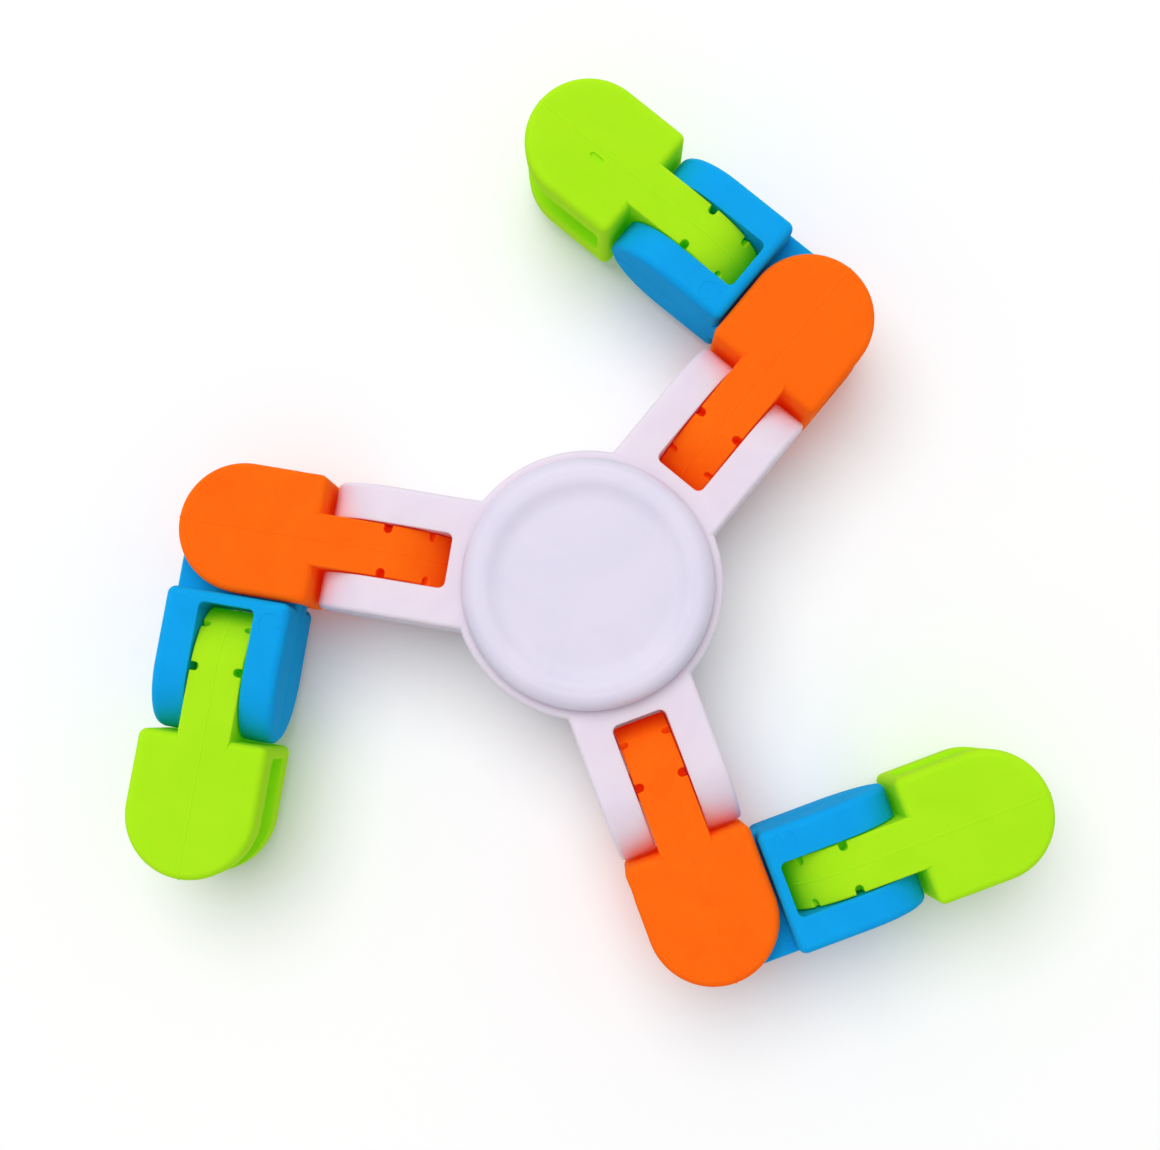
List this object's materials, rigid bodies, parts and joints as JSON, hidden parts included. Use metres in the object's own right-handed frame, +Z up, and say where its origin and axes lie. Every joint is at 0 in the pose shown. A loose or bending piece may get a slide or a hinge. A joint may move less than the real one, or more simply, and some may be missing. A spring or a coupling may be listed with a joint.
{
  "type": "folding chain spinner",
  "caption": "Three-armed hand spinner with a round finger pad on a ball bearing; each arm is a chain of forked click links that fold in turn sideways and up or down.",
  "frame": {"origin": "on the spin axis, in the plane of the lower finger pad's rim, which the spinner rests on", "axes": "+Z up along the spin axis; +Y out along arm a; arms b and c follow at 120 and 240 degrees anticlockwise seen from above"},
  "size_m": [0.0916, 0.0942, 0.0186],
  "materials": {
    "frame_shell": "smooth satin moulded plastic",
    "finger_pad": "smooth satin moulded plastic",
    "link_orange": "satin moulded plastic",
    "link_blue": "satin moulded plastic",
    "link_green": "satin moulded plastic",
    "bearing_steel": "ground bearing steel",
    "shield_steel": "pressed sheet steel",
    "cage_nylon": "natural nylon"
  },
  "bodies": {
    "spindle": {"top_cap": "finger_pad", "bottom_cap": "finger_pad", "bearing_inner_ring": "bearing_steel"},
    "rotor": {"frame": "frame_shell", "bearing_outer_ring": "bearing_steel", "lower_shield": "shield_steel", "upper_shield": "shield_steel"},
    "cage": {"ball_cage": "cage_nylon"},
    "ball_1": {"bearing_ball_1": "bearing_steel"},
    "ball_2": {"bearing_ball_2": "bearing_steel"},
    "ball_3": {"bearing_ball_3": "bearing_steel"},
    "ball_4": {"bearing_ball_4": "bearing_steel"},
    "ball_5": {"bearing_ball_5": "bearing_steel"},
    "ball_6": {"bearing_ball_6": "bearing_steel"},
    "ball_7": {"bearing_ball_7": "bearing_steel"},
    "inner_a": {"inner_link_a": "link_orange"},
    "middle_a": {"middle_link_a": "link_blue"},
    "outer_a": {"outer_link_a": "link_green"},
    "inner_b": {"inner_link_b": "link_orange"},
    "middle_b": {"middle_link_b": "link_blue"},
    "outer_b": {"outer_link_b": "link_green"},
    "inner_c": {"inner_link_c": "link_orange"},
    "middle_c": {"middle_link_c": "link_blue"},
    "outer_c": {"outer_link_c": "link_green"}
  },
  "joints": [
    {"name": "rotor_spin", "type": "hinge", "parent": "spindle", "child": "rotor", "pos_m": [0, 0, 0.0093], "axis": [0, 0, 1], "continuous": true},
    {"name": "cage_spin", "type": "hinge", "parent": "spindle", "child": "cage", "pos_m": [0, 0, 0.0093], "axis": [0, 0, 1], "continuous": true},
    {"name": "ball_1_roll", "type": "hinge", "parent": "cage", "child": "ball_1", "pos_m": [0.0075, 0, 0.0093], "axis": [0, 0, 1], "continuous": true},
    {"name": "ball_2_roll", "type": "hinge", "parent": "cage", "child": "ball_2", "pos_m": [0.00468, 0.00586, 0.0093], "axis": [0, 0, 1], "continuous": true},
    {"name": "ball_3_roll", "type": "hinge", "parent": "cage", "child": "ball_3", "pos_m": [-0.00167, 0.00731, 0.0093], "axis": [0, 0, 1], "continuous": true},
    {"name": "ball_4_roll", "type": "hinge", "parent": "cage", "child": "ball_4", "pos_m": [-0.00676, 0.00325, 0.0093], "axis": [0, 0, 1], "continuous": true},
    {"name": "ball_5_roll", "type": "hinge", "parent": "cage", "child": "ball_5", "pos_m": [-0.00676, -0.00325, 0.0093], "axis": [0, 0, 1], "continuous": true},
    {"name": "ball_6_roll", "type": "hinge", "parent": "cage", "child": "ball_6", "pos_m": [-0.00167, -0.00731, 0.0093], "axis": [0, 0, 1], "continuous": true},
    {"name": "ball_7_roll", "type": "hinge", "parent": "cage", "child": "ball_7", "pos_m": [0.00468, -0.00586, 0.0093], "axis": [0, 0, 1], "continuous": true},
    {"name": "inner_fold_a", "type": "hinge", "parent": "rotor", "child": "inner_a", "pos_m": [0, 0.0214, 0.0093], "axis": [1, 0, 0], "range_deg": [-90, 90]},
    {"name": "middle_fold_a", "type": "hinge", "parent": "inner_a", "child": "middle_a", "pos_m": [0, 0.0364, 0.0093], "axis": [0, 0, 1], "range_deg": [-180, 0]},
    {"name": "outer_fold_a", "type": "hinge", "parent": "middle_a", "child": "outer_a", "pos_m": [-0.015, 0.0364, 0.0093], "axis": [0, -1, 0], "range_deg": [-90, 90]},
    {"name": "inner_fold_b", "type": "hinge", "parent": "rotor", "child": "inner_b", "pos_m": [-0.01853, -0.0107, 0.0093], "axis": [-0.5, 0.866, 0], "range_deg": [-90, 90]},
    {"name": "middle_fold_b", "type": "hinge", "parent": "inner_b", "child": "middle_b", "pos_m": [-0.03152, -0.0182, 0.0093], "axis": [0, 0, 1], "range_deg": [-180, 0]},
    {"name": "outer_fold_b", "type": "hinge", "parent": "middle_b", "child": "outer_b", "pos_m": [-0.02402, -0.03119, 0.0093], "axis": [0.866, 0.5, 0], "range_deg": [-90, 90]},
    {"name": "inner_fold_c", "type": "hinge", "parent": "rotor", "child": "inner_c", "pos_m": [0.01853, -0.0107, 0.0093], "axis": [-0.5, -0.866, 0], "range_deg": [-90, 90]},
    {"name": "middle_fold_c", "type": "hinge", "parent": "inner_c", "child": "middle_c", "pos_m": [0.03152, -0.0182, 0.0093], "axis": [0, 0, 1], "range_deg": [-180, 0]},
    {"name": "outer_fold_c", "type": "hinge", "parent": "middle_c", "child": "outer_c", "pos_m": [0.03902, -0.00521, 0.0093], "axis": [-0.866, 0.5, 0], "range_deg": [-90, 90]}
  ],
  "couplings": [
    {"joint": "cage_spin", "follows": "rotor_spin", "ratio": 0.6323},
    {"joint": "ball_1_roll", "follows": "rotor_spin", "ratio": 1.7573},
    {"joint": "ball_2_roll", "follows": "rotor_spin", "ratio": 1.7573},
    {"joint": "ball_3_roll", "follows": "rotor_spin", "ratio": 1.7573},
    {"joint": "ball_4_roll", "follows": "rotor_spin", "ratio": 1.7573},
    {"joint": "ball_5_roll", "follows": "rotor_spin", "ratio": 1.7573},
    {"joint": "ball_6_roll", "follows": "rotor_spin", "ratio": 1.7573},
    {"joint": "ball_7_roll", "follows": "rotor_spin", "ratio": 1.7573}
  ]
}
